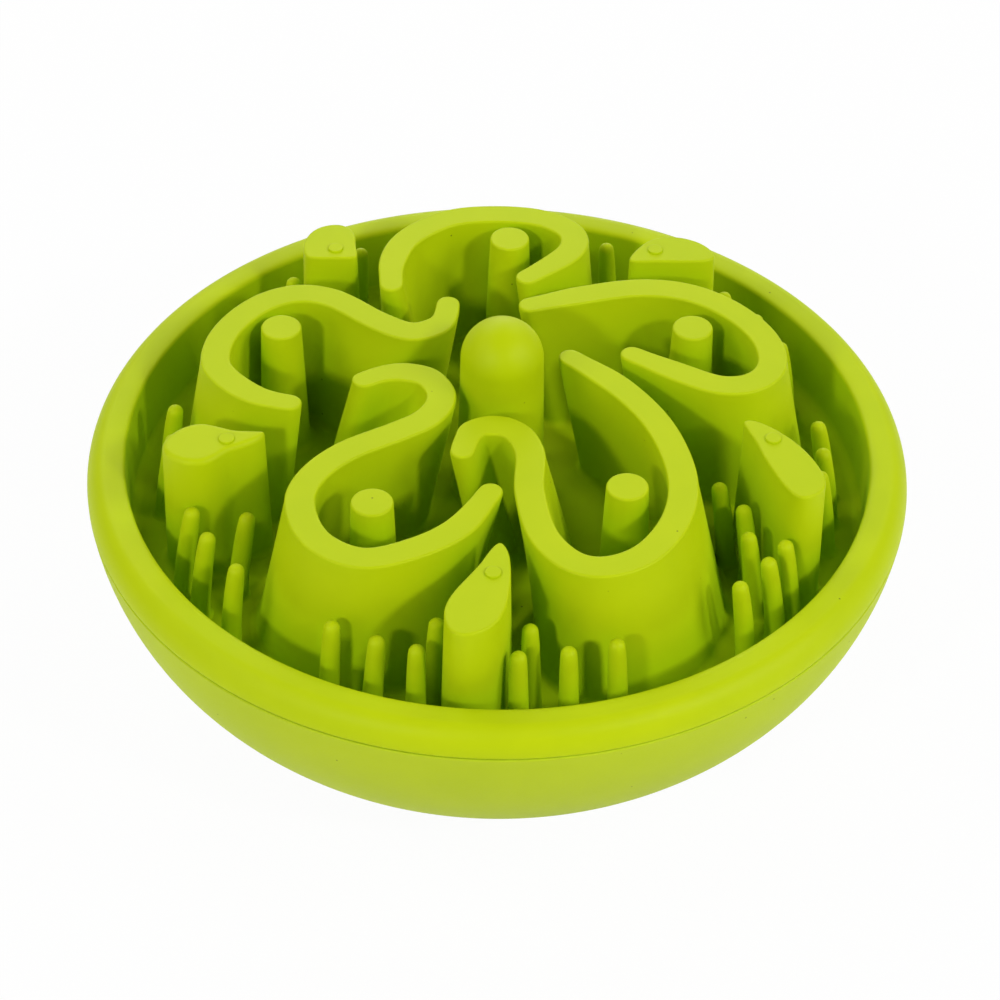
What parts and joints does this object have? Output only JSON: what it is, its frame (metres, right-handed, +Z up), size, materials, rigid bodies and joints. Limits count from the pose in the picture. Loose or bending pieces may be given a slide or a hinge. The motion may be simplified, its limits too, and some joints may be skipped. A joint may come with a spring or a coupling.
{
  "type": "dog slow feeder bowl",
  "caption": "Round-bottomed rubber slow feeder bowl: petal-shaped walls, posts, leaf blocks and small pegs make a dog lick food out slowly.",
  "frame": {"origin": "centre of the flat rest face under the bowl", "axes": "+Z up out of the bowl, -Y towards the front of the picture, +X to its right"},
  "size_m": [0.2012, 0.2012, 0.1],
  "materials": {
    "maze_rubber": "moulded lime-green rubber, satin",
    "hull_rubber": "moulded lime-green rubber, matt satin",
    "ballast_iron": "raw casting"
  },
  "bodies": {
    "root": {"ballast_disc": "ballast_iron", "centre_post": "maze_rubber", "dish_floor": "maze_rubber", "leaf_block_1": "maze_rubber", "leaf_block_2": "maze_rubber", "leaf_block_3": "maze_rubber", "leaf_block_4": "maze_rubber", "leaf_block_5": "maze_rubber", "peg_01": "maze_rubber", "peg_02": "maze_rubber", "peg_03": "maze_rubber", "peg_04": "maze_rubber", "peg_05": "maze_rubber", "peg_06": "maze_rubber", "peg_07": "maze_rubber", "peg_08": "maze_rubber", "peg_09": "maze_rubber", "peg_10": "maze_rubber", "peg_11": "maze_rubber", "peg_12": "maze_rubber", "peg_13": "maze_rubber", "peg_14": "maze_rubber", "peg_15": "maze_rubber", "peg_16": "maze_rubber", "peg_17": "maze_rubber", "peg_18": "maze_rubber", "peg_19": "maze_rubber", "peg_20": "maze_rubber", "peg_21": "maze_rubber", "peg_22": "maze_rubber", "peg_23": "maze_rubber", "peg_24": "maze_rubber", "peg_25": "maze_rubber", "peg_26": "maze_rubber", "peg_27": "maze_rubber", "peg_28": "maze_rubber", "peg_29": "maze_rubber", "peg_30": "maze_rubber", "peg_31": "maze_rubber", "peg_32": "maze_rubber", "peg_33": "maze_rubber", "peg_34": "maze_rubber", "peg_35": "maze_rubber", "petal_1": "maze_rubber", "petal_2": "maze_rubber", "petal_3": "maze_rubber", "petal_4": "maze_rubber", "petal_5": "maze_rubber", "petal_post_1": "maze_rubber", "petal_post_2": "maze_rubber", "petal_post_3": "maze_rubber", "petal_post_4": "maze_rubber", "petal_post_5": "maze_rubber", "rim_ring": "maze_rubber", "round_hull": "hull_rubber"}
  },
  "joints": []
}
